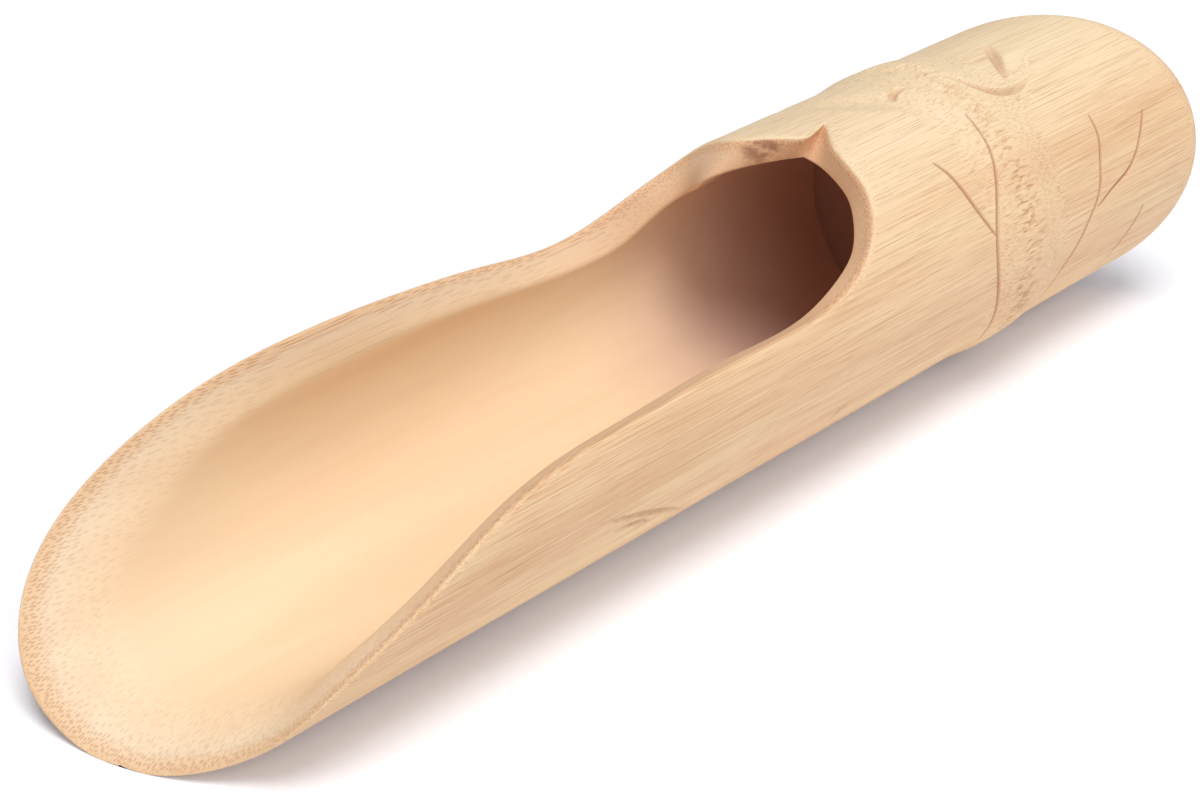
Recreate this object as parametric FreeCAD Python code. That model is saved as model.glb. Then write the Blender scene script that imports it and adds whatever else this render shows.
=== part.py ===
import FreeCAD, Part
import math
import os

# Bamboo tea scoop carved from one length of culm.
# +X runs from the tip of the trough to the sawn rear end, +Y is the left side, +Z is up.
# Stations along the culm are counted from the tip. All lengths are millimetres, all angles degrees.

# The culm
tip_diameter = 45.9
rear_diameter = 44.1
wall_thickness = 4.3
underside_cut = 0.45

# Along the culm: the open mouth, the tube behind it up to the node, the stub behind the node
mouth_length = 124.0
tube_length = 26.0
stub_length = 35.0

# The sawn rear end, cut askew by hand, with its edges rounded by shares of the wall there
end_slant_angle = 28.0
end_rake_angle = 11.0
end_outer_rounding_share = 0.46
end_inner_rounding_share = 0.12

# The node, a swelling outside, a narrower hollow behind it and a partition inside
node_swelling = 0.8
node_width = 20.0
node_shoulder = 2.7
diaphragm_rim_thickness = 2.6
diaphragm_dish_depth = 1.0

# How far cutting tools reach past what they cut
cutter_overrun = 10.0
rim_overrun_share = 0.35
rim_rows_per_face = 7

# The mouth's rim, from the nick in the arch down the left side, round the tip and back up the right.
# Each row is a station and an angle for the rim's outer edge, then the same for its inner edge.
# Stations are shares of the mouth's length; angles are turned from straight up towards the left.
rim_shares = [
    (1.028, 1.0, 0.991, 1.0),
    (1.007, -1.0, 0.985, 2.5),
    (0.986, -2.5, 0.972, 5.5),
    (0.960, 4.5, 0.948, 11.0),
    (0.936, 15.0, 0.908, 22.0),
    (0.934, 32.0, 0.898, 37.0),
    (0.926, 48.0, 0.912, 53.0),
    (0.880, 60.0, 0.886, 66.5),
    (0.810, 70.0, 0.832, 78.0),
    (0.750, 72.5, 0.760, 79.0),
    (0.640, 66.5, 0.645, 74.0),
    (0.530, 60.0, 0.535, 70.0),
    (0.400, 55.5, 0.420, 70.0),
    (0.280, 59.0, 0.320, 73.0),
    (0.175, 73.0, 0.240, 82.0),
    (0.084, 91.0, 0.176, 97.0),
    (0.018, 112.0, 0.116, 115.0),
    (-0.016, 136.0, 0.080, 137.0),
    (-0.016, 158.0, 0.070, 158.0),
    (0.003, 180.0, 0.086, 180.0),
    (0.037, 200.0, 0.128, 200.0),
    (0.078, 219.0, 0.166, 219.0),
    (0.112, 237.0, 0.174, 237.0),
    (0.165, 253.0, 0.215, 251.0),
    (0.240, 266.0, 0.280, 264.0),
    (0.330, 280.0, 0.360, 278.0),
    (0.430, 288.5, 0.450, 286.5),
    (0.560, 291.0, 0.570, 289.5),
    (0.700, 292.0, 0.705, 291.5),
    (0.820, 293.0, 0.820, 292.5),
    (0.892, 296.5, 0.882, 296.0),
    (0.932, 303.5, 0.928, 303.5),
    (0.964, 314.0, 0.956, 313.0),
    (0.982, 326.0, 0.977, 326.0),
    (0.988, 340.0, 0.985, 338.0),
    (0.998, 349.5, 0.989, 350.0),
    (1.012, 354.5, 0.990, 355.5),
    (1.028, 361.0, 0.991, 361.0),
]

tip_radius = tip_diameter / 2
rear_radius = rear_diameter / 2
handle_bore_radius = (tip_radius + rear_radius) / 2 - wall_thickness
stub_bore_radius = handle_bore_radius - node_shoulder
node_station = mouth_length + tube_length
centre_length = node_station + stub_length
half_node = node_width / 2
stub_wall = rear_radius - stub_bore_radius
end_outer_rounding = stub_wall * end_outer_rounding_share
end_inner_rounding = stub_wall * end_inner_rounding_share
axis_height = max(tip_radius, rear_radius) - underside_cut
axis_start = FreeCAD.Vector(0, 0, axis_height)
along_culm = FreeCAD.Vector(1, 0, 0)
sideways = FreeCAD.Vector(0, 1, 0)
upwards = FreeCAD.Vector(0, 0, 1)


def culm_radius(station):
    """Radius of the culm's skin, tapering from the tip to the rear, with the swelling at the node."""
    taper = (rear_radius - tip_radius) * station / centre_length
    offset = abs(station - node_station)
    if offset >= half_node:
        return tip_radius + taper
    return tip_radius + taper + node_swelling * (1 + math.cos(math.pi * offset / half_node)) / 2


def at_angle(station, radius, angle):
    """A point around the culm's axis."""
    turn = math.radians(angle)
    return FreeCAD.Vector(station, radius * math.sin(turn), axis_height + radius * math.cos(turn))


def profile_point(station, radius):
    """A point straight below the axis, where every turned face keeps its seam."""
    return FreeCAD.Vector(station, 0, axis_height - radius)


def turned(edges):
    """The solid that a closed outline below the axis sweeps around it."""
    outline = Part.Face(Part.Wire(edges))
    return outline.revolve(axis_start, along_culm, 360)


def joined_up(corners):
    """Straight edges from each corner to the next."""
    return [Part.LineSegment(first, second).toShape() for first, second in zip(corners, corners[1:])]


def bored_rod(start, finish, radius):
    """A plain round rod on the culm's axis."""
    corners = [
        profile_point(start, 0),
        profile_point(start, radius),
        profile_point(finish, radius),
        profile_point(finish, 0),
        profile_point(start, 0),
    ]
    return turned(joined_up(corners))


def make_round_culm():
    """The solid culm before any carving, with its node swelling."""
    start = -cutter_overrun
    finish = centre_length + rear_diameter
    before = node_station - half_node
    after = node_station + half_node
    swelling = Part.BSplineCurve()
    swelling_shares = (-1, -0.7, -0.4, 0, 0.4, 0.7, 1)
    stations = [node_station + share * half_node for share in swelling_shares]
    slope = (rear_radius - tip_radius) / centre_length
    along_skin = FreeCAD.Vector(1, 0, -slope)
    swelling.interpolate(
        Points=[profile_point(station, culm_radius(station)) for station in stations],
        InitialTangent=along_skin,
        FinalTangent=along_skin,
    )
    front_corners = [profile_point(start, culm_radius(start)), profile_point(before, culm_radius(before))]
    rear_corners = [
        profile_point(after, culm_radius(after)),
        profile_point(finish, culm_radius(finish)),
        profile_point(finish, 0),
        profile_point(start, 0),
        profile_point(start, culm_radius(start)),
    ]
    return turned(joined_up(front_corners) + [swelling.toShape()] + joined_up(rear_corners))


def end_normal():
    """Which way the sawn end faces: askew to the left, and down a little."""
    facing = FreeCAD.Rotation(upwards, end_slant_angle).multVec(along_culm)
    return FreeCAD.Rotation(sideways, end_rake_angle).multVec(facing)


def saw_end(culm):
    """Saw the rear end askew and round its edges."""
    normal = end_normal()
    middle = FreeCAD.Vector(centre_length, 0, axis_height)
    size = rear_diameter * 3
    waste = Part.makeBox(size, size, size, FreeCAD.Vector(-size / 2, -size / 2, 0))
    waste.Placement = FreeCAD.Placement(middle, FreeCAD.Rotation(upwards, normal))
    sawn = culm.cut(waste)
    end_faces = [
        face
        for face in sawn.Faces
        if isinstance(face.Surface, Part.Plane) and abs(face.normalAt(0, 0).dot(normal)) > math.cos(math.radians(1))
    ]
    end_face = end_faces[0]
    outer_edges = end_face.OuterWire.Edges
    inner_edges = [edge for edge in end_face.Edges if not any(edge.isSame(other) for other in outer_edges)]
    rounded = sawn.makeFillet(end_outer_rounding, outer_edges)
    inner_edges = [
        edge
        for edge in rounded.Edges
        if any((edge.CenterOfMass - other.CenterOfMass).Length < end_inner_rounding for other in inner_edges)
    ]
    return rounded.makeFillet(end_inner_rounding, inner_edges)


def make_rim_blade():
    """The ruled surface that the carver's blade sweeps along the mouth's rim, through the wall."""
    outer_points = []
    inner_points = []
    for outer_share, outer_angle, inner_share, inner_angle in rim_shares:
        outer_station = outer_share * mouth_length
        outer = at_angle(outer_station, culm_radius(outer_station), outer_angle)
        inner = at_angle(inner_share * mouth_length, handle_bore_radius, inner_angle)
        overrun = (outer - inner) * rim_overrun_share
        outer_points.append(outer + overrun)
        inner_points.append(inner - overrun)
    parameters = [0.0]
    for first, second in zip(outer_points, outer_points[1:]):
        parameters.append(parameters[-1] + (second - first).Length)
    curves = []
    for points in (outer_points, inner_points):
        curve = Part.BSplineCurve()
        curve.interpolate(Points=points, Parameters=parameters)
        curves.append(curve)
    joints = parameters[:-1:rim_rows_per_face] + parameters[-1:]
    faces = []
    for start, finish in zip(joints, joints[1:]):
        outer_edge, inner_edge = [curve.toShape(start, finish) for curve in curves]
        faces.append(Part.makeRuledSurface(outer_edge, inner_edge))
    blade = Part.makeCompound(faces)
    blade.sewShape()
    return blade


def make_culm_wall():
    """The carved culm: trough, mouth, handle tube, node swelling and rear stub."""
    before = -2 * cutter_overrun
    beyond = centre_length + 2 * rear_diameter
    culm = make_round_culm()
    culm = culm.cut(bored_rod(before, node_station, handle_bore_radius))
    culm = culm.cut(bored_rod(node_station, beyond, stub_bore_radius))
    culm = saw_end(culm)
    corner = FreeCAD.Vector(before, -tip_diameter, -cutter_overrun)
    culm = culm.cut(Part.makeBox(beyond - before, 2 * tip_diameter, cutter_overrun, corner))
    pieces, _ = culm.generalFuse([make_rim_blade()])
    return max(pieces.Solids, key=lambda solid: solid.BoundBox.XMax)


def make_node_diaphragm():
    """The partition at the node: a thin disc, dished in front, seated on the shoulder behind it."""
    front = node_station - diaphragm_rim_thickness
    rim = handle_bore_radius - diaphragm_rim_thickness / 2
    dish_radius = (rim**2 + diaphragm_dish_depth**2) / (2 * diaphragm_dish_depth)
    dish_middle = FreeCAD.Vector(front + diaphragm_dish_depth - dish_radius, 0, axis_height)
    dish = Part.makeSphere(dish_radius, dish_middle)
    dish.rotate(dish_middle, upwards, 180)
    return bored_rod(front, node_station, handle_bore_radius).cut(dish)


nodes = {
    "culm_wall": make_culm_wall(),
    "node_diaphragm": make_node_diaphragm(),
}

# The part stands with the middle of its footprint at the origin; the flat underside is already at zero.
corners, _ = nodes["culm_wall"].tessellate(node_swelling / 20)
stations = [corner.x for corner in corners]
shift = FreeCAD.Vector(-(min(stations) + max(stations)) / 2, 0, 0)

os.makedirs("parts", exist_ok=True)
for name, shape in nodes.items():
    shape.translate(shift)
    shape.exportStep("parts/" + name + ".step")
    print(name, "solids", len(shape.Solids), "valid", shape.isValid(), "volume", round(shape.Volume, 1))
print("shift", shift)
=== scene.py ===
import math

import bpy
import numpy as np
from mathutils import Matrix, Vector, noise


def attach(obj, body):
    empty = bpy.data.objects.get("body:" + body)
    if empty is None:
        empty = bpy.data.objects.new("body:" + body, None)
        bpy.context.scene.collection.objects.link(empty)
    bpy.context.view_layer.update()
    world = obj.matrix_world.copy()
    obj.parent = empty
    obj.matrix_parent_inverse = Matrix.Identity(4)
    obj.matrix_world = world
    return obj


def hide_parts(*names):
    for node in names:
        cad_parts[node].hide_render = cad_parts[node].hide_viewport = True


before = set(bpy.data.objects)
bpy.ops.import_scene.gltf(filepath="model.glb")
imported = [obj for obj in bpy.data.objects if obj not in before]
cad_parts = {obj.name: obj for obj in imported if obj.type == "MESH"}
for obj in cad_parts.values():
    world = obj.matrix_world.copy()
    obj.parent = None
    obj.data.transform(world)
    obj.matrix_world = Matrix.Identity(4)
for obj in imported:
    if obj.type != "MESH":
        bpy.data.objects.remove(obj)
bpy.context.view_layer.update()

# A tea scoop carved from one length of moso bamboo culm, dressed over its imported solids.
# Stations along the culm are millimetres from the tip, angles turn from straight up towards +Y.
MM = 0.001
MIDDLE_STATION = 96.554
AXIS_HEIGHT = 22.5
TIP_RADIUS = 22.95
REAR_RADIUS = 22.05
MEAN_RADIUS = 22.5
BORE_RADIUS = 18.2
STUB_RADIUS = 15.5
MOUTH_LENGTH = 124.0
NODE_STATION = 150.0
REAR_STATION = 185.0
SKIN_TAPER = (REAR_RADIUS - TIP_RADIUS) / REAR_STATION

# The swelling at the node, and the ring before it where the mouth's net of faces ends
NODE_SWELLING = 0.8
HALF_NODE = 10.0
RING_STATION = 140.5

# The sawn rear end: its middle, its slope sideways and upwards, how far its edges are rounded, and over
# what length before them the cuts in the skin fade out
SAWN_STATION = 184.3
SAW_SLANT = 0.542
SAW_RAKE = 0.194
END_ROUNDING_ALONG = 5.4
END_ROUNDING_ACROSS = 4.1
STUB_LIP = 0.8
REAR_FADE = 3

# The wall is thicker under the far side of the arch: by how much, where, and how far that reaches
THICKER_BY = 1.3
THICKER_ANGLE, THICKER_SPREAD = 42, 15
THICKER_STATION, THICKER_LENGTH = 113, 9

# The rim's edges are rounded by these millimetres: at the nick, by how much more away from it, and for
# the inner edge by how much more again in the trough, at the tip and under the far side of the arch.
# Away from the nick the outer corner is drawn out a little, so that the rounding doesn't narrow the rim.
NICK_LENGTH = 6
OUTER_AT_NICK, OUTER_AWAY, CORNER_DRAWN_OUT = 0.35, 1.05, 0.3
INNER_AT_NICK, INNER_AWAY, INNER_IN_TROUGH, INNER_AT_TIP, INNER_ON_ARCH = 0.3, 0.1, 0.5, 2.0, 0.6
TIP_LENGTH, TIP_GROWTH = 32, 0.7
TROUGH_END, TROUGH_FADE = 105, 40
ARCH_ANGLE, ARCH_SPREAD = 36, 20

# A rounded edge starts this many times its rounding from the corner, or at most this share of the rim
LIP_START = 1.1
OUTER_LIP_SHARE, INNER_LIP_SHARE = 0.3, 0.35

# The mouth's rim, from the nick in the arch down the left side and round the tip. The solids have the same
# rows, but for the one at 0.820, whose inner edge lies 0.7 mm away here.
# Each row is a share of the mouth's length and an angle for the outer edge, then for the inner edge.
RIM = [
    (1.028, 1.0, 0.991, 1.0),
    (1.007, -1.0, 0.985, 2.5),
    (0.986, -2.5, 0.972, 5.5),
    (0.960, 4.5, 0.948, 11.0),
    (0.936, 15.0, 0.908, 22.0),
    (0.934, 32.0, 0.898, 37.0),
    (0.926, 48.0, 0.912, 53.0),
    (0.880, 60.0, 0.886, 66.5),
    (0.810, 70.0, 0.832, 78.0),
    (0.750, 72.5, 0.760, 79.0),
    (0.640, 66.5, 0.645, 74.0),
    (0.530, 60.0, 0.535, 70.0),
    (0.400, 55.5, 0.420, 70.0),
    (0.280, 59.0, 0.320, 73.0),
    (0.175, 73.0, 0.240, 82.0),
    (0.084, 91.0, 0.176, 97.0),
    (0.018, 112.0, 0.116, 115.0),
    (-0.016, 136.0, 0.080, 137.0),
    (-0.016, 158.0, 0.070, 158.0),
    (0.003, 180.0, 0.086, 180.0),
    (0.037, 200.0, 0.128, 200.0),
    (0.078, 219.0, 0.166, 219.0),
    (0.112, 237.0, 0.174, 237.0),
    (0.165, 253.0, 0.215, 251.0),
    (0.240, 266.0, 0.280, 264.0),
    (0.330, 280.0, 0.360, 278.0),
    (0.430, 288.5, 0.450, 286.5),
    (0.560, 291.0, 0.570, 289.5),
    (0.700, 292.0, 0.705, 291.5),
    (0.820, 292.4, 0.816, 290.8),
    (0.892, 296.5, 0.882, 296.0),
    (0.932, 303.5, 0.928, 303.5),
    (0.964, 314.0, 0.956, 313.0),
    (0.982, 326.0, 0.977, 326.0),
    (0.988, 340.0, 0.985, 338.0),
    (0.998, 349.5, 0.989, 350.0),
    (1.012, 354.5, 0.990, 355.5),
    (1.028, 361.0, 0.991, 361.0),
]

# Strokes cut into the skin with the corner of a gouge: station and angle along each one.
CARVED_STROKES = [
    [(135.9, -36), (137.2, -42), (139.0, -56), (141.9, -71)],
    [
        (147.3, -25),
        (147.2, -34),
        (146.3, -45),
        (144.8, -54),
        (142.3, -72),
        (142.4, -90),
        (143.9, -108),
        (144.6, -124),
    ],
    [
        (170.1, -46),
        (170.1, -56),
        (169.0, -64),
        (167.5, -77),
        (165.0, -86),
        (162.6, -95),
        (160.5, -102),
        (158.0, -117),
    ],
    [(182.1, -54), (179.3, -64), (175.7, -73), (171.8, -77), (169.0, -80), (167.2, -82)],
    [(179.7, -93), (178.2, -101), (176.3, -109), (175.1, -116)],
]
STROKE_HALF_WIDTH = 0.4
STROKE_DEPTH = 0.38
STROKE_REACH = 0.6

# Five dents of the gouge behind the arch and three slips of it low on the near side:
# each one's path, half its width and its depth in millimetres.
GOUGES = [
    ([(166.4, 4), (163.7, -6), (161.0, -17)], 1.35, 0.85),
    ([(152.0, -5), (153.4, -13), (155.6, -19.5), (159.5, -23), (164.3, -21)], 1.0, 0.6),
    ([(160.0, -31), (161.5, -23), (165.0, -14), (168.5, -10)], 2.6, 0.35),
    ([(141.0, -3), (142.2, 0.5), (144.4, 0)], 0.95, 0.8),
    ([(132.5, 37), (132.2, 22), (133.7, 13), (136.6, 4), (140.5, -4), (141.6, -19)], 3.4, 0.5),
    ([(111.4, -112), (109.9, -116), (108.6, -119)], 0.7, 0.7),
    ([(62.0, -101), (68.7, -107), (74.4, -114), (80.0, -124)], 0.7, 0.35),
    ([(64.5, -109), (68.5, -111), (72.0, -116)], 0.6, 0.25),
]
NARROW_GOUGE = 1.5

# Narrow gouge marks and torn fibre are these shares as brown as the strokes. The brown is partly the cut
# fibre's own colour and partly painted shade in the hollows of the cuts
BROWN_AND_SHADE_IN_GOUGES, BROWN_AND_SHADE_IN_TEARS = 0.55, 0.3

# The band of torn fibre round the node, which wanders as it goes round and is rougher in places.
# Sizes are millimetres round the culm, or along it and round it; depths are millimetres too.
TORN_BAND = 8
TORN_HALF_WIDTH = 2.6
TORN_WANDER, WANDER_SIZE = 1.3, 6
ROUGHNESS, ROUGHNESS_CHANGE, ROUGHNESS_SIZE = 0.75, 0.7, 9
FIBRE_SIZE = 1.3, 0.42
TEAR_SIZE = 2.4, 1.5
TEAR_SHARE = 0.6
LEAST_DEPTH, UNEVEN_DEPTH, TEAR_DEPTH = 0.08, 0.1, 0.38

# Hand sanding takes this much off the skin and leaves it this uneven, over these lengths along and round it
SANDED_DEPTH, SANDED_UNEVEN = 0.04, 0.1
SANDING_SIZE = 24, 11

# The net of faces: columns round the culm, closer together near the nick, and rows outside and inside,
# over the node and on to the sawn end. The cuts fade in over the first rows from the rim.
COLUMNS = 256
NET_ROWS = 44
INNER_NET_ROWS = 36
ROWS_OVER_NODE = 26
ROWS_TO_END = 32
SOFT_ROWS = 6
COLUMN_CROWDING = 1.6
CROWDED_LENGTH = 9

# Each round of refining quarters the faces this near a stroke or gouge, and this near the node
REFINED = [(2.0, 5.0), (0.85, 2.6)]


def skin_radius(station):
    """The culm's taper with the swelling at its node."""
    offset = np.abs(station - NODE_STATION)
    swelling = NODE_SWELLING * (1 + np.cos(np.pi * np.minimum(offset / HALF_NODE, 1))) / 2
    return TIP_RADIUS + SKIN_TAPER * station + swelling


def bore_radius(station, angle):
    """The hollow's radius, less where the wall was left thicker under the far side of the arch."""
    turn = (np.degrees(np.mod(angle, 2 * np.pi)) - THICKER_ANGLE) / THICKER_SPREAD
    along = (station - THICKER_STATION) / THICKER_LENGTH
    return BORE_RADIUS - THICKER_BY * np.exp(-(turn**2) - along**2)


def end_station(angle, radius):
    """Station of the slanted saw cut at the rear."""
    return SAWN_STATION - SAW_SLANT * radius * np.sin(angle) + SAW_RAKE * radius * np.cos(angle)


def on_culm(station, angle, radius):
    """Points in millimetres from stations, angles in radians and radii."""
    return np.stack(
        [station - MIDDLE_STATION, radius * np.sin(angle), AXIS_HEIGHT + radius * np.cos(angle)],
        axis=-1,
    )


def smooth_curve(marks, values, wanted):
    """A natural cubic spline through the values at the marks, read at the wanted places."""
    step = np.diff(marks)
    count = len(marks)
    system = np.eye(count)
    load = np.zeros((count, values.shape[1]))
    for k in range(1, count - 1):
        system[k, k - 1 : k + 2] = step[k - 1], 2 * (step[k - 1] + step[k]), step[k]
        load[k] = 6 * ((values[k + 1] - values[k]) / step[k] - (values[k] - values[k - 1]) / step[k - 1])
    bend = np.linalg.solve(system, load)
    k = np.clip(np.searchsorted(marks, wanted, side="right") - 1, 0, count - 2)
    width = step[k][:, None]
    right = (wanted - marks[k])[:, None] / width
    left = 1 - right
    lift = (left**3 - left) * bend[k] + (right**3 - right) * bend[k + 1]
    return left * values[k] + right * values[k + 1] + lift * width**2 / 6


def lengths_along(points):
    """How far along a line of points each of them lies."""
    return np.concatenate([[0], np.cumsum(np.linalg.norm(np.diff(points, axis=0), axis=1))])


def rim_edges():
    """The rim's outer and inner edge, a station and an angle per column, and each column's way to the nick."""
    rows = np.array(RIM)
    outer = np.stack([rows[:, 0] * MOUTH_LENGTH, np.radians(rows[:, 1])], axis=1)
    inner = np.stack([rows[:, 2] * MOUTH_LENGTH, np.radians(rows[:, 3])], axis=1)
    marks = lengths_along(on_culm(outer[:, 0], outer[:, 1], skin_radius(outer[:, 0])))
    fine = np.linspace(0, marks[-1], 4000)
    from_nick = np.minimum(fine, marks[-1] - fine)
    crowding = 1 + COLUMN_CROWDING * np.exp(-((from_nick / CROWDED_LENGTH) ** 2))
    filled = np.concatenate([[0], np.cumsum((crowding[1:] + crowding[:-1]) / 2)])
    wanted = np.interp(np.arange(COLUMNS) / COLUMNS * filled[-1], filled, fine)
    both = smooth_curve(marks, np.concatenate([outer, inner], axis=1), wanted)
    from_nick = np.minimum(wanted, marks[-1] - wanted)
    return both[:, :2], both[:, 2:], from_nick


def unrolled(edge, radius):
    """Columns on the flat: distance round the culm, then station."""
    return np.stack([edge[:, 1] * radius, edge[:, 0]], axis=1)


def outward(flat, around):
    """Unit vectors across a closed line on the flat, away from the mouth."""
    ahead = np.roll(flat, -1, axis=0)
    ahead[-1, 0] += around
    behind = np.roll(flat, 1, axis=0)
    behind[0, 0] -= around
    along = ahead - behind
    across = np.stack([-along[:, 1], along[:, 0]], axis=1)
    for _ in range(3):
        across /= np.linalg.norm(across, axis=1)[:, None]
        across = (np.roll(across, 1, axis=0) + 2 * across + np.roll(across, -1, axis=0)) / 4
    return across / np.linalg.norm(across, axis=1)[:, None]


def relaxed_net(near, far, rows, around, slide_far, rounds=1500):
    """An even net on the flat between the mouth's edge and a ring round the culm."""
    share = np.linspace(0, 1, rows + 1)[:, None, None]
    net = near[None] * (1 - share) + far[None] * share
    turn = np.array([around, 0.0])
    for _ in range(rounds):
        east = np.roll(net, -1, axis=1)
        east[:, -1] += turn
        west = np.roll(net, 1, axis=1)
        west[:, 0] -= turn
        across = (east - west)[1:-1] / 2
        along = (net[2:] - net[:-2]) / 2
        stretch_along = np.sum(along**2, axis=2, keepdims=True)
        stretch_across = np.sum(across**2, axis=2, keepdims=True)
        skew = np.sum(along * across, axis=2, keepdims=True)
        corners = (east[2:] - west[2:] - east[:-2] + west[:-2]) / 4
        total = stretch_along * (east + west)[1:-1] + stretch_across * (net[2:] + net[:-2]) - 2 * skew * corners
        net[1:-1] = total / (2 * (stretch_along + stretch_across))
        if slide_far:
            net[-1, :, 0] = net[-2, :, 0]
    return net


def rounded_edge(start, corner, finish, steps):
    """Points of a soft corner between two places, without its two ends."""
    share = (np.arange(1, steps) / steps)[:, None, None]
    return (1 - share) ** 2 * start + 2 * share * (1 - share) * corner + share**2 * finish


def straight_rows(start, finish, steps):
    """Rows between two places, without the first and with the last."""
    share = (np.arange(1, steps + 1) / steps)[:, None, None]
    return start * (1 - share) + finish * share


def rim_softness(outer, from_nick):
    """How far the rim's two edges are rounded in each column, and how far its outer corner is drawn out."""
    tipness = np.clip(1 - outer[:, 0] / TIP_LENGTH, 0, 1) ** TIP_GROWTH
    away_from_nick = np.clip(from_nick / NICK_LENGTH, 0, 1)
    in_trough = np.clip((TROUGH_END - outer[:, 0]) / TROUGH_FADE, 0, 1)
    on_arch = np.exp(-(((np.degrees(outer[:, 1]) - ARCH_ANGLE) / ARCH_SPREAD) ** 2))
    round_outer = OUTER_AT_NICK + away_from_nick * OUTER_AWAY
    round_inner = INNER_AT_NICK + INNER_AWAY * away_from_nick + INNER_IN_TROUGH * in_trough
    round_inner = round_inner + tipness * INNER_AT_TIP + INNER_ON_ARCH * on_arch
    return round_outer, round_inner, away_from_nick * CORNER_DRAWN_OUT


def wall_rows():
    """Rows of points that run over the whole wall: skin, sawn end, hollow, inner wall and rim."""
    outer, inner, from_nick = rim_edges()
    round_outer, round_inner, drawn_out = rim_softness(outer, from_nick)

    skin_flat = unrolled(outer, TIP_RADIUS)
    skin_around = 2 * np.pi * TIP_RADIUS
    across = outward(skin_flat, skin_around)
    edge_flat = skin_flat - across * drawn_out[:, None]
    collar = skin_flat + across * (round_outer - drawn_out)[:, None]
    ring = np.stack([skin_flat[:, 0], np.full(COLUMNS, RING_STATION)], axis=1)
    ring[:, 0] = np.linspace(skin_flat[0, 0], skin_flat[0, 0] + skin_around, COLUMNS, endpoint=False)
    net = relaxed_net(collar, ring, NET_ROWS, skin_around, slide_far=True)
    angle = net[:, :, 0] / TIP_RADIUS
    skin = on_culm(net[:, :, 1], angle, skin_radius(net[:, :, 1]))
    edge = on_culm(edge_flat[:, 1], edge_flat[:, 0] / TIP_RADIUS, skin_radius(edge_flat[:, 1]))
    ring_angle = angle[-1]

    bore_flat = unrolled(inner, BORE_RADIUS)
    bore_around = 2 * np.pi * BORE_RADIUS
    bore_collar = bore_flat + outward(bore_flat, bore_around) * round_inner[:, None]
    bore_ring = np.stack([ring_angle * BORE_RADIUS, np.full(COLUMNS, RING_STATION)], axis=1)
    bore_net = relaxed_net(bore_collar, bore_ring, INNER_NET_ROWS, bore_around, slide_far=False)
    angle = bore_net[:, :, 0] / BORE_RADIUS
    bore = on_culm(bore_net[:, :, 1], angle, bore_radius(bore_net[:, :, 1], angle))
    angle = bore_flat[:, 0] / BORE_RADIUS
    bore_edge = on_culm(bore_flat[:, 1], angle, bore_radius(bore_flat[:, 1], angle))

    rows = [skin]
    node_end = NODE_STATION + HALF_NODE
    for station in np.linspace(RING_STATION, node_end, ROWS_OVER_NODE + 1)[1:]:
        rows.append(on_culm(np.full(COLUMNS, station), ring_angle, skin_radius(station))[None])
    rear_skin = end_station(ring_angle, REAR_RADIUS) - END_ROUNDING_ALONG
    for share in np.arange(1, ROWS_TO_END + 1) / ROWS_TO_END:
        station = node_end + (rear_skin - node_end) * share
        rows.append(on_culm(station, ring_angle, skin_radius(station))[None])
    skin_rows = sum(len(block) for block in rows)

    def on_end(radius):
        return on_culm(end_station(ring_angle, radius), ring_angle, radius)

    radius = skin_radius(end_station(ring_angle, REAR_RADIUS))
    end_rim = on_end(radius - END_ROUNDING_ACROSS)
    rows.append(rounded_edge(rows[-1][-1], on_end(radius), end_rim, steps=9))
    rows.append(end_rim[None])
    rows.append(straight_rows(end_rim, on_end(STUB_RADIUS + STUB_LIP), steps=5))
    stub_lip = on_culm(end_station(ring_angle, STUB_RADIUS) - STUB_LIP, ring_angle, STUB_RADIUS)
    rows.append(rounded_edge(rows[-1][-1], on_end(STUB_RADIUS), stub_lip, steps=4))
    rows.append(stub_lip[None])
    hollow_start = sum(len(block) for block in rows) - 1
    at_node = np.full(COLUMNS, NODE_STATION)
    shoulder = on_culm(at_node, ring_angle, STUB_RADIUS)
    rows.append(straight_rows(stub_lip, shoulder, steps=10))
    rows.append(straight_rows(shoulder, on_culm(at_node, ring_angle, BORE_RADIUS), steps=2))
    rows.append(straight_rows(rows[-1][-1], bore[-1], steps=4))
    rows.append(bore[-2::-1])
    hollow_finish = sum(len(block) for block in rows)

    across_rim = bore_edge - edge
    width = np.linalg.norm(across_rim, axis=1)[:, None]
    across_rim = across_rim / width
    lip_out = edge + across_rim * np.minimum(round_outer[:, None] * LIP_START, width * OUTER_LIP_SHARE)
    lip_in = bore_edge - across_rim * np.minimum(round_inner[:, None] * LIP_START, width * INNER_LIP_SHARE)
    rows.append(rounded_edge(bore[0], bore_edge, lip_in, steps=5))
    rows.append(lip_in[None])
    rows.append(straight_rows(lip_in, lip_out, steps=7))
    rows.append(rounded_edge(lip_out, edge, skin[0], steps=6))
    return np.concatenate(rows), skin_rows, hollow_start, hollow_finish


def apart(station, around, marks):
    """Distance of places on the skin from a line through the marks, and how far along it they lie."""
    steps = lengths_along(marks)
    line = smooth_curve(steps, marks, np.linspace(0, steps[-1], 40))
    nearest = np.full(len(station), np.inf)
    share = np.zeros(len(station))
    for k in range(len(line) - 1):
        run = line[k + 1] - line[k]
        along = ((station - line[k, 0]) * run[0] + (around - line[k, 1]) * run[1]) / (run @ run)
        along = np.clip(along, 0, 1)
        gap = np.hypot(station - line[k, 0] - along * run[0], around - line[k, 1] - along * run[1])
        closer = gap < nearest
        nearest[closer] = gap[closer]
        share[closer] = (k + along[closer]) / (len(line) - 1)
    return nearest, share


def touched(station, around, path, reach):
    """Places on the skin within reach of a path, their distance from it and how far along it they lie."""
    marks = np.array([[mark, math.radians(angle) * MEAN_RADIUS] for mark, angle in path])
    low = marks.min(axis=0) - reach
    high = marks.max(axis=0) + reach
    maybe = (station > low[0]) & (station < high[0]) & (around > low[1]) & (around < high[1])
    spots = np.flatnonzero(maybe)
    gap, share = apart(station[spots], around[spots], marks)
    close = gap < reach
    return spots[close], gap[close], share[close]


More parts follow.
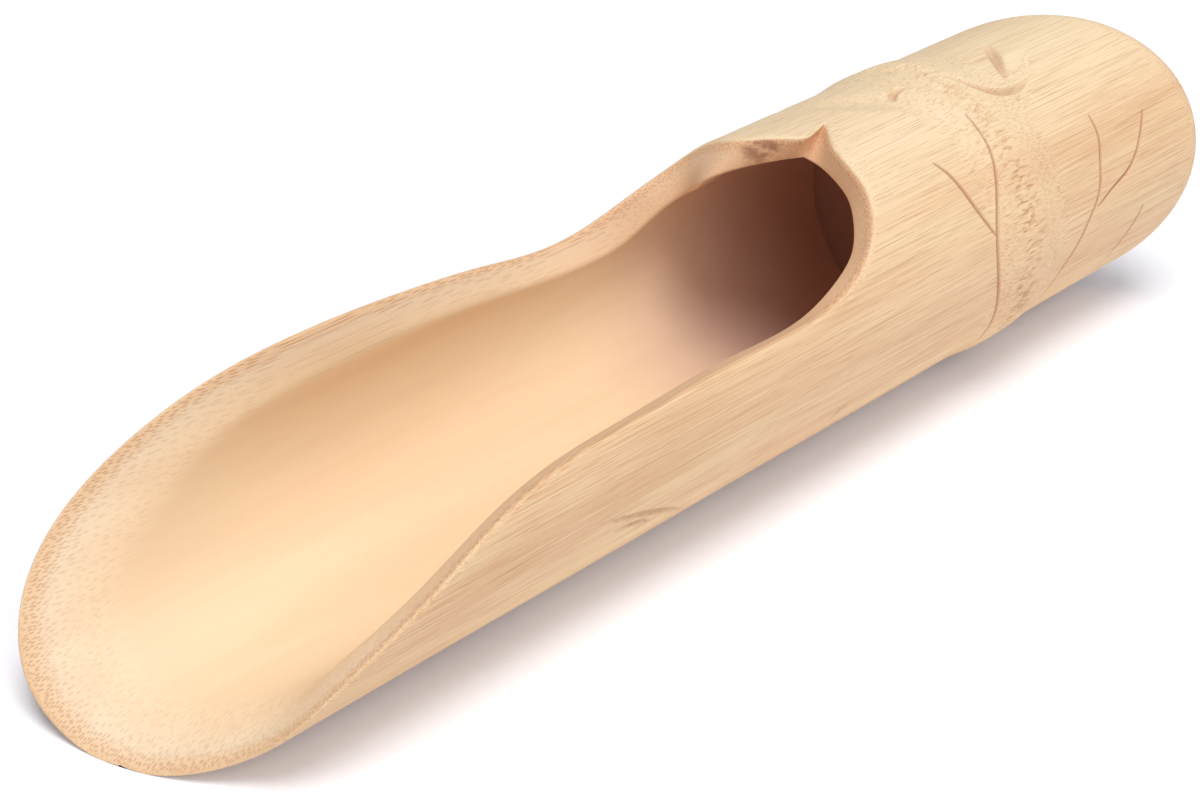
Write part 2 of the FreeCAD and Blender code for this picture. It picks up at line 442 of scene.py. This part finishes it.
def carved_depth(station, around):
    """How deep the skin is cut at each place, and how much of that is a fine stroke: its share of brown, which
    is partly painted shade in the cuts.
    """
    depth = np.zeros(len(station))
    stroke = np.zeros(len(station))
    for path in CARVED_STROKES:
        spots, gap, share = touched(station, around, path, STROKE_REACH)
        width = STROKE_HALF_WIDTH / 2 * (1 + np.sin(np.pi * share) ** 0.5)
        cut = np.clip(1 - gap / width, 0, 1)
        depth[spots] = np.maximum(depth[spots], STROKE_DEPTH * width / STROKE_HALF_WIDTH * cut)
        stroke[spots] = np.maximum(stroke[spots], cut)
    for path, width, deepest in GOUGES:
        spots, gap, share = touched(station, around, path, width)
        swell = np.sin(np.pi * np.clip(share, 0.03, 0.97)) ** 0.6
        dip = np.clip(1 - (gap / (width * (0.45 + 0.55 * swell))) ** 2, 0, 1) ** 1.5
        depth[spots] += deepest * swell * dip
        # Narrow gouges are drawn brown by their depth: partly their own colour, partly painted shade
        if width < NARROW_GOUGE:
            stroke[spots] = np.maximum(stroke[spots], BROWN_AND_SHADE_IN_GOUGES * swell * dip)

    # Torn fibre: the band wanders and thins as it goes round, and its tears run along the culm.
    # The last number of each noise only keeps it apart from the others.
    for k in np.flatnonzero(np.abs(station - NODE_STATION) < TORN_BAND):
        wander = TORN_WANDER * noise.noise((0.0, around[k] / WANDER_SIZE, 3.1))
        rough = ROUGHNESS + ROUGHNESS_CHANGE * noise.noise((0.0, around[k] / ROUGHNESS_SIZE, 8.3))
        window = rough * math.exp(-(((station[k] - NODE_STATION - wander) / TORN_HALF_WIDTH) ** 4))
        fibre = noise.noise((station[k] / FIBRE_SIZE[0], around[k] / FIBRE_SIZE[1], 7.7))
        torn = noise.noise((station[k] / TEAR_SIZE[0], around[k] / TEAR_SIZE[1], 1.7))
        tear = max(0.0, min(0.5, fibre + TEAR_SHARE * torn)) * 2
        depth[k] += window * (LEAST_DEPTH + UNEVEN_DEPTH * (0.5 + torn) + TEAR_DEPTH * tear)
        # Tears are drawn brown by their depth: partly their own colour, partly painted shade
        stroke[k] = max(stroke[k], BROWN_AND_SHADE_IN_TEARS * window * tear)

    for k in range(len(station)):
        hand = noise.noise((station[k] / SANDING_SIZE[0], around[k] / SANDING_SIZE[1], 0.4))
        depth[k] += SANDED_DEPTH + SANDED_UNEVEN * hand
    return depth, stroke


def read_skin(mesh):
    """Place, station, angle and share of skin at every point of the mesh."""
    places = np.empty(len(mesh.vertices) * 3)
    mesh.vertices.foreach_get("co", places)
    places = places.reshape(-1, 3) / MM
    angle = np.arctan2(places[:, 1], places[:, 2] - AXIS_HEIGHT)
    share = np.empty(len(mesh.vertices))
    mesh.attributes["skin"].data.foreach_get("value", share)
    return places, places[:, 0] + MIDDLE_STATION, angle, share


def refine_skin(piece, reach, band):
    """Quarter the skin's faces near the strokes and gouges, and over the node's band."""
    mesh = piece.data
    _, station, angle, share = read_skin(mesh)
    corners = np.empty(len(mesh.loops), int)
    mesh.loops.foreach_get("vertex_index", corners)
    starts = np.empty(len(mesh.polygons), int)
    mesh.polygons.foreach_get("loop_start", starts)
    totals = np.empty(len(mesh.polygons), int)
    mesh.polygons.foreach_get("loop_total", totals)
    whole = np.minimum.reduceat(share[corners], starts) > 0.99
    near = np.abs(station - NODE_STATION) < band
    for path in CARVED_STROKES + [gouge[0] for gouge in GOUGES]:
        near[touched(station, angle * MEAN_RADIUS, path, reach)[0]] = True
    chosen = whole & near[corners[starts]] & (totals == 4)
    for layer in (mesh.vertices, mesh.edges):
        layer.foreach_set("select", np.zeros(len(layer), bool))
    mesh.polygons.foreach_set("select", chosen)
    bpy.ops.object.mode_set(mode="EDIT")
    bpy.ops.mesh.select_mode(type="FACE")
    bpy.ops.mesh.subdivide(number_cuts=1)
    bpy.ops.object.mode_set(mode="OBJECT")


def keep_values(mesh, name, values):
    """Keep a value at every point of the mesh, for its material to read."""
    mesh.attributes.new(name, "FLOAT", "POINT").data.foreach_set("value", values.ravel())


def carve_culm():
    """The whole culm wall as one closed piece: a ring mesh laid over the wall's rows."""
    rows, skin_rows, hollow_start, hollow_finish = wall_rows()
    count = len(rows)
    bpy.ops.object.select_all(action="DESELECT")
    bpy.ops.mesh.primitive_torus_add(
        major_segments=COLUMNS, minor_segments=count, major_radius=0.05, minor_radius=0.01
    )
    piece = bpy.context.object
    piece.name = piece.data.name = "carved_culm"
    mesh = piece.data
    while mesh.uv_layers:
        mesh.uv_layers.remove(mesh.uv_layers[0])
    mesh.vertices.foreach_set("co", (rows.transpose(1, 0, 2).reshape(-1, 3) * MM).ravel())
    skin = np.zeros((COLUMNS, count))
    skin[:, :skin_rows] = np.clip(np.arange(skin_rows) / SOFT_ROWS, 0, 1)
    keep_values(mesh, "skin", skin)
    hollow = np.zeros((COLUMNS, count))
    hollow[:, hollow_start:hollow_finish] = 1
    hollow[:, hollow_finish : hollow_finish + 3] = (0.8, 0.5, 0.2)
    keep_values(mesh, "hollow", hollow)
    for reach, band in REFINED:
        refine_skin(piece, reach, band)

    # The cuts fade out before the rim and before the rounded rear edge
    places, station, angle, share = read_skin(mesh)
    on_skin = np.flatnonzero(share > 0.001)
    station, angle = station[on_skin], angle[on_skin]
    depth, stroke = carved_depth(station, angle * MEAN_RADIUS)
    rear_skin = end_station(angle, REAR_RADIUS) - END_ROUNDING_ALONG
    fade = share[on_skin] * np.clip((rear_skin - station) / REAR_FADE, 0, 1)
    places[on_skin] = on_culm(station, angle, skin_radius(station) - depth * fade)
    places[:, 2] = np.maximum(places[:, 2], 0)
    mesh.vertices.foreach_set("co", (places * MM).ravel())
    drawn = np.zeros(len(mesh.vertices))
    drawn[on_skin] = stroke * fade
    keep_values(mesh, "stroke", drawn)
    mesh.update()
    bpy.ops.object.mode_set(mode="EDIT")
    bpy.ops.mesh.select_all(action="SELECT")
    bpy.ops.mesh.normals_make_consistent(inside=False)
    bpy.ops.object.mode_set(mode="OBJECT")
    bpy.ops.object.shade_smooth()
    return piece


def linear(code):
    """A colour written as an sRGB hex value, made linear for a shader."""
    parts = [int(code[k : k + 2], 16) / 255 for k in (1, 3, 5)]
    return [p / 12.92 if p <= 0.04045 else ((p + 0.055) / 1.055) ** 2.4 for p in parts] + [1.0]


def add(tree, kind, inputs=(), **settings):
    """Add a node, give it its settings, and fill its inputs or link them. A node links by its first output."""
    made = tree.nodes.new(kind)
    for name, value in settings.items():
        setattr(made, name, value)
    for key, value in dict(inputs).items():
        if isinstance(value, bpy.types.Node):
            value = value.outputs[0]
        if isinstance(value, bpy.types.NodeSocket):
            tree.links.new(value, made.inputs[key])
        else:
            made.inputs[key].default_value = value
    return made


# The grains of the bamboo: how many times each is drawn out along the culm, its width in millimetres,
# its detail, and an offset that keeps it apart from the others.
GRAINS = {
    "tan drifts": (11, 5.5, 3, 4.0),
    "lemon drifts": (9, 7.0, 2, 14.0),
    "fibres": (170, 0.11, 3, 0.0),
    "stain patches": (3, 1.6, 3, 21.0),
    "lining patches": (1.0, 12.0, 1, 31.0),
    "waves": (2.5, 2.2, 2, 41.0),
}

# Vessels met end on in a cut: how many to a millimetre, and how unevenly they stand
VESSELS = {"near vessels": (2.8, 0.7), "far vessels": (1.7, 0.8)}

# Vessels that run along the skin: drawn out this many times, this far apart in millimetres, and an offset
DASH_STRETCH, DASH_APART, DASH_OFFSET = 16, 0.5, 5.0

STAIN_PLACE = (20.6, 3.4, 20.6)

# The tan on the cut reaches further towards the tip on the right side, by this many times the way across
TAN_SLANT = -1.6
# How strongly the brown of strokes, gouges and tears shows, painted shade in the cuts among it
BROWN_AND_SHADE_STRENGTH = 0.8

# Where on the ramp through the wall the ground colour is that of the paler wood
WOOD_AT = 0.3

FADE_INPUTS = ("Value", "From Min", "From Max", "To Min", "To Max")

# Depths at which the skin ends and a cut begins, and how far the edge of the brown lining, with its painted
# shade, wanders
FIRST_FADES = [
    ("under the skin", "depth", 0.2, 0.6),
    ("at the skin", "depth", 0.6, 0.2),
    ("lining wanders", "lining patches", 0.2, 0.8, -2.0, 2.0),
]

# Where each tint shows and how strongly: the value it follows, where that starts and is full, and the
# strength at both. Left out, the strengths are 0 and 1.
FADES = [
    ("through the wall", "depth", 0.0, 4.4),
    ("tan", "tan drifts", 0.36, 0.7),
    ("tan strength", "on skin", 0.0, 1.0, 0.18, 0.46),
    ("lemon", "lemon drifts", 0.5, 0.72, 0.0, 0.6),
    # Painted light on the top of the culm, paler the higher it lies
    ("painted top light", "height", 13.0, 22.0, 0.0, 0.6),
    ("tan on cut", "towards rear and right", -70.0, 10.0, 0.0, 0.46),
    ("rind", "depth", 2.0, 0.5, 0.0, 0.2),
    ("sanded fibres", "hollow", 0.0, 1.0, 0.16, 0.05),
    ("fibre strength", "on skin", 0.0, 1.0, "sanded fibres", 0.64),
    ("dark fibres", "fibres", 0.51, 0.7),
    ("pale fibres", "fibres", 0.46, 0.3),
    ("near dots", "near vessels", 0.46, 0.16),
    ("far dots", "far vessels", 0.36, 0.12),
    ("further in", "depth", 0.9, 2.2),
    ("dot strength", "depth", 0.8, 2.8, 0.42, 0.12),
    ("dashes", "long vessels", 0.26, 0.1, 0.0, 0.2),
    ("stain", "stain distance", 4.0, 1.4, 0.0, 0.7),
    ("stain edge", "stain patches", 0.36, 0.62),
    # Lining and painted shade: the hollow browns from 4 mm before the middle to 32 mm past it
    ("lining_and_shade", "deeper in the tube", -4.0, 32.0),
]

# Tints laid one over the other, each by the product of the values named
TINTS = [
    # Broad drifts of tan, 5 mm round the culm and 60 mm along it, and of lemon
    (("tan", "tan strength"), "#E0AC80"),
    (("lemon", "on skin"), "#F7DDAE"),
    # Painted light: the top of the handle is drawn paler, where the light falls on it
    (("painted top light", "on skin"), "#FFECC6"),
    # The cut is drawn tan round the arch and along the right side, and cream at the tip
    (("tan on cut", "cut"), "#ECAE80"),
    (("rind", "cut"), "#E6B288"),
    # Fibres 0.1 mm wide and 20 mm long, plain on the skin, nearly sanded away in the hollow
    (("dark fibres", "fibre strength"), "#BF8A5A"),
    (("pale fibres", "fibre strength"), "#FCE6C4"),
    # Vessel bundles 0.4 mm apart under the skin and 0.6 mm further in: dots across the cut, dashes along it
    (("dots",), "#B87C50"),
    (("dashes", "on skin"), "#A87446"),
    # Strokes and torn fibre show brown, partly their own colour and partly painted shade in their grooves
    (("brown and shaded strokes",), "#A55F3A"),
    # A brown stain on the arch, 5 mm across
    (("stain", "stain edge", "cut"), "#9C5F45"),
]

# What lifts the surface and by how much, as shares of the bump's distance
RISES = [("waves", 0.6), ("dots", -1.2), ("ridges", 0.8)]


def bamboo(name, ground, lining_and_shade, roughness, inside=0.0):
    """Moso bamboo: fine straight fibres along the culm, brown vessel ends in each cut, paler where sanded."""
    material = bpy.data.materials.new(name)
    material.use_nodes = True
    tree = material.node_tree
    tree.nodes.clear()

    # Places in millimetres from the culm's axis, and how deep under the skin they lie
    place = add(tree, "ShaderNodeTexCoord").outputs["Object"]
    centred = {"Vector": place, "Location": (0, 0, -AXIS_HEIGHT), "Scale": (1 / MM, 1 / MM, 1 / MM)}
    spot = add(tree, "ShaderNodeMapping", centred)
    along, across, height = add(tree, "ShaderNodeSeparateXYZ", {0: spot}).outputs
    section = add(tree, "ShaderNodeCombineXYZ", {0: across, 1: height})
    radius = add(tree, "ShaderNodeVectorMath", {0: section}, operation="LENGTH").outputs["Value"]
    taper = {0: along, 1: SKIN_TAPER, 2: TIP_RADIUS + SKIN_TAPER * MIDDLE_STATION}
    skin = add(tree, "ShaderNodeMath", taper, operation="MULTIPLY_ADD")
    away = add(tree, "ShaderNodeVectorMath", {0: spot, 1: STAIN_PLACE}, operation="DISTANCE")
    at = {
        "along": along,
        "height": height,
        "depth": add(tree, "ShaderNodeMath", {0: skin, 1: radius}, operation="SUBTRACT"),
        "towards rear and right": add(tree, "ShaderNodeMath", {0: across, 1: TAN_SLANT, 2: along}, operation="MULTIPLY_ADD"),
        "stain distance": away.outputs["Value"],
    }
    for mark in ("skin", "hollow", "stroke"):
        at[mark] = add(tree, "ShaderNodeAttribute", attribute_name=mark).outputs["Fac"]

    # Grains and vessels
    for grain, (stretch, width, detail, offset) in GRAINS.items():
        drawn_out = {"Vector": spot, "Location": (offset, offset, offset), "Scale": (1 / stretch, 1, 1)}
        pattern = {"Vector": add(tree, "ShaderNodeMapping", drawn_out), "Scale": 1 / width}
        at[grain] = add(tree, "ShaderNodeTexNoise", pattern | {"Detail": detail, "Roughness": 0.55})
    for vessels, (per_mm, uneven) in VESSELS.items():
        ends = {"Vector": section, "Scale": per_mm, "Randomness": uneven}
        at[vessels] = add(tree, "ShaderNodeTexVoronoi", ends, voronoi_dimensions="2D")
    drawn_out = {"Vector": spot, "Location": (DASH_OFFSET,) * 3, "Scale": (1 / DASH_STRETCH, 1, 1)}
    dashes = {"Vector": add(tree, "ShaderNodeMapping", drawn_out), "Scale": 1 / DASH_APART, "Randomness": 0.8}
    at["long vessels"] = add(tree, "ShaderNodeTexVoronoi", dashes)

    # Where there is skin, a cut or the hollow
    for part, *row in FIRST_FADES:
        row = [at.get(value, value) for value in row]
        at[part] = add(tree, "ShaderNodeMapRange", zip(FADE_INPUTS, row), interpolation_type="SMOOTHSTEP")
    for part, operation, first, second in (
        ("hollow", "MAXIMUM", "hollow", inside),
        ("covered", "MAXIMUM", "hollow", "skin"),
        ("bare", "SUBTRACT", 1.0, "covered"),
        ("cut", "MULTIPLY", "under the skin", "bare"),
        ("on skin", "MAXIMUM", "at the skin", "skin"),
        ("deeper in the tube", "ADD", "along", "lining wanders"),
        ("ridges", "MULTIPLY", "fibres", "on skin"),
        ("brown and shaded strokes", "MULTIPLY", "stroke", BROWN_AND_SHADE_STRENGTH),
    ):
        values = {0: at.get(first, first), 1: at.get(second, second)}
        at[part] = add(tree, "ShaderNodeMath", values, operation=operation)
    for part, *row in FADES:
        row = [at.get(value, value) for value in row]
        at[part] = add(tree, "ShaderNodeMapRange", zip(FADE_INPUTS, row), interpolation_type="SMOOTHSTEP")
    dots = add(tree, "ShaderNodeMix", {0: at["further in"], 2: at["near dots"], 3: at["far dots"]})
    for factor in ("cut", "dot strength"):
        dots = add(tree, "ShaderNodeMath", {0: dots, 1: at[factor]}, operation="MULTIPLY")
    at["dots"] = dots

    # Ground colour from the skin through the wall to the hollow, then the tints. The hollow was sanded only
    # as far as fingers reach: behind that it keeps its brown lining, and that brown is also painted shade deep
    # in the tube.
    ramp = add(tree, "ShaderNodeValToRGB", {0: at["through the wall"]})
    ramp.color_ramp.elements[0].color = linear(ground[0])
    ramp.color_ramp.elements[1].color = linear(ground[2])
    ramp.color_ramp.elements.new(WOOD_AT).color = linear(ground[1])
    colour = ramp.outputs[0]
    for factors, tint in TINTS + [(("lining_and_shade", "hollow"), lining_and_shade)]:
        share = at[factors[0]]
        for factor in factors[1:]:
            share = add(tree, "ShaderNodeMath", {0: share, 1: at[factor]}, operation="MULTIPLY")
        colour = add(tree, "ShaderNodeMix", {0: share, 6: colour, 7: linear(tint)}, data_type="RGBA").outputs[2]

    # Fibres stand up, vessel ends are pits, and the carver's hand left slow waves
    lift = 0.0
    for part, rise in RISES:
        lift = add(tree, "ShaderNodeMath", {0: at[part], 1: rise, 2: lift}, operation="MULTIPLY_ADD")
    bump = add(tree, "ShaderNodeBump", {"Height": lift, "Strength": 0.55, "Distance": 0.00012})
    row = (at["fibres"], 0.3, 0.7, roughness - 0.05, roughness + 0.08)
    polish = add(tree, "ShaderNodeMapRange", zip(FADE_INPUTS, row), interpolation_type="SMOOTHSTEP")
    finish = {"Base Color": colour, "Roughness": polish, "IOR": 1.5, "Specular IOR Level": 0.35, "Normal": bump}
    shader = add(tree, "ShaderNodeBsdfPrincipled", finish)
    add(tree, "ShaderNodeOutputMaterial", {"Surface": shader})
    return material


# Sanded and unvarnished: peach skin with a dull sheen, paler wood under it, a cream hollow, a brown lining that
# is also painted shade deep in the tube
CULM_GROUND = ("#F4D0A6", "#F8E0C0", "#F8DAB4")
CULM_LINING_AND_SHADE = "#D8B09E"

# The partition was never sanded: darker, browner and duller, with no skin of its own. Its lining tint is also
# painted shade, as it stands deep in the tube
PARTITION_GROUND = ("#C99A72", "#C99A72", "#C08D68")
PARTITION_LINING_AND_SHADE = "#A57A6C"

culm = carve_culm()
culm.data.materials.append(bamboo("carved_moso_bamboo", CULM_GROUND, CULM_LINING_AND_SHADE, 0.5))
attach(culm, "root")
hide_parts("culm_wall")
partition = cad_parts["node_diaphragm"]
partition.data.materials.clear()
partition.data.materials.append(
    bamboo("bamboo_node_membrane", PARTITION_GROUND, PARTITION_LINING_AND_SHADE, 0.65, inside=1.0)
)


def lay_floor():
    """White paper just under the scoop. It keeps the shadow, and its brightener shows as a cool glow."""
    bpy.ops.object.select_all(action="DESELECT")
    bpy.ops.mesh.primitive_plane_add(size=6, location=(0, 0, -0.00003))
    floor = bpy.context.object
    floor.name = "studio_floor"
    material = bpy.data.materials.new("white_paper")
    material.use_nodes = True
    tree = material.node_tree
    tree.nodes.clear()
    camera_ray = add(tree, "ShaderNodeLightPath").outputs["Is Camera Ray"]
    paper = add(tree, "ShaderNodeBsdfDiffuse", {"Color": linear("#FCFAFC")})
    glow = add(tree, "ShaderNodeEmission", {"Color": linear("#90D0FF"), "Strength": 0.11})
    both = add(tree, "ShaderNodeAddShader", {0: paper, 1: glow})
    seen = add(tree, "ShaderNodeMixShader", {0: camera_ray, 1: paper, 2: both})
    add(tree, "ShaderNodeOutputMaterial", {"Surface": seen})
    floor.data.materials.append(material)


def place_camera():
    """The photograph's viewpoint, worked out from the culm's edges, node ring and ends."""
    yaw, drop, roll = math.radians(45), math.radians(32.951), math.radians(1.215)
    forward = Vector((math.sin(yaw) * math.cos(drop), math.cos(yaw) * math.cos(drop), -math.sin(drop)))
    level = Vector((math.cos(yaw), -math.sin(yaw), 0))
    above = level.cross(forward)
    right = level * math.cos(roll) + above * math.sin(roll)
    up = above * math.cos(roll) - level * math.sin(roll)
    data = bpy.data.cameras.new("photo_camera")
    data.lens = 70.59
    data.sensor_width = 36
    data.clip_start = 0.01
    data.clip_end = 50
    camera = bpy.data.objects.new("photo_camera", data)
    bpy.context.scene.collection.objects.link(camera)
    turn = Matrix((right, up, -forward)).transposed().to_4x4()
    spot = Vector((-111.0 - MIDDLE_STATION, -193.4, 194.6)) * MM
    camera.matrix_world = Matrix.Translation(spot) @ turn
    bpy.context.scene.camera = camera


def hang_sun(name, strength, softness, aim):
    """A broad soft lamp far off, shining along the aim."""
    data = bpy.data.lights.new(name, "SUN")
    data.energy = strength
    data.angle = math.radians(softness)
    lamp = bpy.data.objects.new(name, data)
    bpy.context.scene.collection.objects.link(lamp)
    lamp.rotation_euler = Vector(aim).to_track_quat("-Z", "Y").to_euler()


def light_scene():
    """A dim white room, a soft box overhead, and a weaker one in front of the scoop's near side."""
    hang_sun("overhead_softbox", 2.1, 32, (0.06, 0.16, -1.0))
    hang_sun("front_softbox", 0.76, 45, (0.2, 0.85, -0.85))
    world = bpy.data.worlds.new("studio")
    bpy.context.scene.world = world
    world.use_nodes = True
    tree = world.node_tree
    tree.nodes.clear()
    camera_ray = add(tree, "ShaderNodeLightPath").outputs["Is Camera Ray"]
    room = add(tree, "ShaderNodeBackground", {"Color": linear("#FFFFFF"), "Strength": 0.2})
    white = add(tree, "ShaderNodeBackground", {"Color": linear("#FFFFFF"), "Strength": 1.0})
    seen = add(tree, "ShaderNodeMixShader", {0: camera_ray, 1: room, 2: white})
    add(tree, "ShaderNodeOutputWorld", {"Surface": seen})
    bpy.context.scene.view_settings.view_transform = "Standard"


lay_floor()
place_camera()
light_scene()
